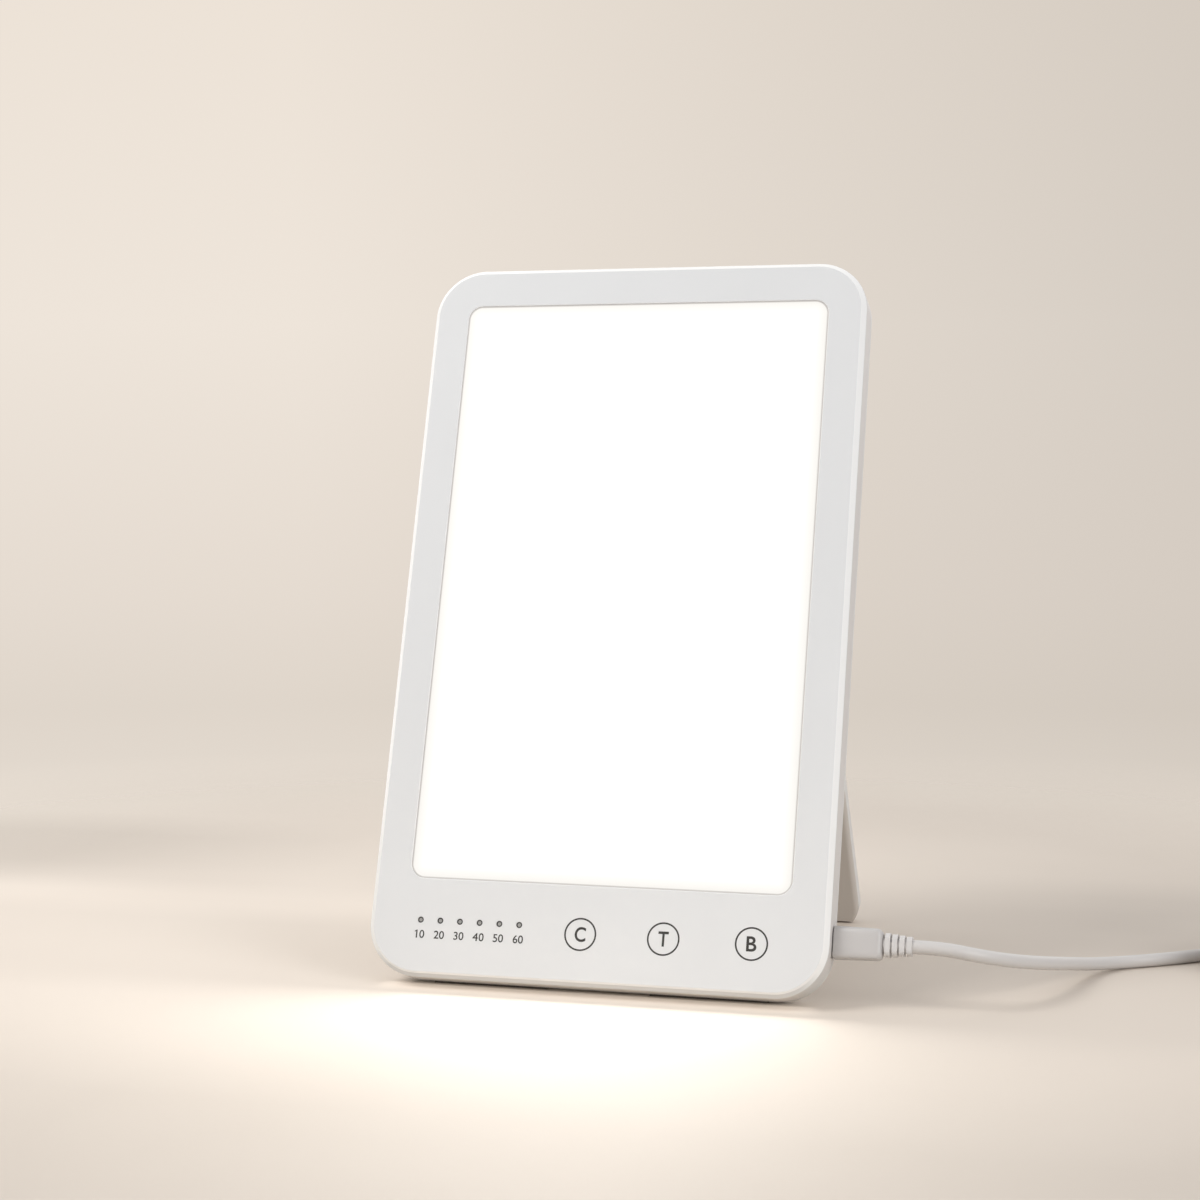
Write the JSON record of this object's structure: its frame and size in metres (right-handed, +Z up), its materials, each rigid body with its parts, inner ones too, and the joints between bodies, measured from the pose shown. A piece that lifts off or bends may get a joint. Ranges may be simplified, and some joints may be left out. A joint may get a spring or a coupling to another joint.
{
  "type": "light therapy lamp",
  "caption": "Slim tablet-style light therapy lamp with a round-cornered panel, a framed diffuser window, touch keys, a fold-out stand leg and a plugged-in supply lead.",
  "frame": {"origin": "bottom centre of the lamp's bounding box on the table, with the stand leg open and without the supply lead", "axes": "+Z up, the lit face looks towards -Y and leans back, the stand leg is on the +Y side, +X to the right seen from the front, where the supply socket is"},
  "size_m": [0.3195, 0.1444, 0.2219],
  "materials": {
    "white_housing": "fine satin texture",
    "white_cover": "fine satin texture",
    "leg_plastic": "fine satin texture",
    "opal_diffuser": "opal, smooth",
    "clear_acrylic": "clear, polished",
    "reflector_film": "white film",
    "aluminium_sheet": "brushed",
    "strip_board": "white solder mask",
    "circuit_board": "green solder mask",
    "led_resin": "yellow phosphor",
    "indicator_resin": "clear resin",
    "flat_jumper": "polyimide film",
    "chip_black": "matt moulded",
    "inductor_grey": "ferrite",
    "capacitor_ceramic": "ceramic",
    "conductive_foam": "conductive foam",
    "black_plastic": "matt",
    "nickel_shell": "nickel-plated",
    "zinc_screw": "zinc-plated",
    "steel_pin": "ground",
    "acetal": "natural acetal",
    "grey_rubber": "matt",
    "white_lead": "soft satin",
    "white_relief": "soft satin",
    "tie_grey": "woven",
    "contact_block": "matt"
  },
  "bodies": {
    "panel": {"front_housing": "white_housing", "back_cover": "white_cover", "diffuser_panel": "opal_diffuser", "light_guide": "clear_acrylic", "reflector_sheet": "reflector_film", "heat_spreader": "aluminium_sheet", "led_strip_boards": "strip_board", "strip_leds": "led_resin", "led_jumpers": "flat_jumper", "control_board": "circuit_board", "board_screws": "zinc_screw", "control_chips": "chip_black", "driver_inductor": "inductor_grey", "board_capacitors": "capacitor_ceramic", "touch_pads": "conductive_foam", "indicator_guard": "black_plastic", "indicator_light_pipes": "clear_acrylic", "indicator_leds": "indicator_resin", "supply_socket": "nickel_shell", "socket_tongue": "black_plastic", "case_screws": "zinc_screw", "back_bumpers": "grey_rubber", "base_feet": "grey_rubber", "hinge_pins": "steel_pin", "hinge_washers": "acetal"},
    "stand_leg": {"leg_outer_shell": "leg_plastic", "leg_inner_shell": "leg_plastic", "leg_foot_pad": "grey_rubber", "leg_screws": "zinc_screw", "hinge_bushes": "acetal"},
    "supply_lead": {"plug_housing": "white_relief", "plug_tip": "nickel_shell", "strain_relief": "white_relief", "cord_lead": "white_lead", "cord_coil": "white_lead", "coil_tie": "tie_grey", "cord_tail": "white_lead", "far_relief": "white_relief", "far_plug_housing": "white_relief", "far_plug_shell": "nickel_shell", "far_plug_block": "contact_block"}
  },
  "joints": [
    {"name": "leg_hinge", "type": "hinge", "parent": "panel", "child": "stand_leg", "pos_m": [0, 0.01183, 0.19107], "axis": [1, 0, 0], "range_deg": [-34.8, 0]},
    {"name": "plug_slide", "type": "slide", "parent": "panel", "child": "supply_lead", "axis": [1, 0, 0], "range_m": [0, 0.0075]}
  ]
}
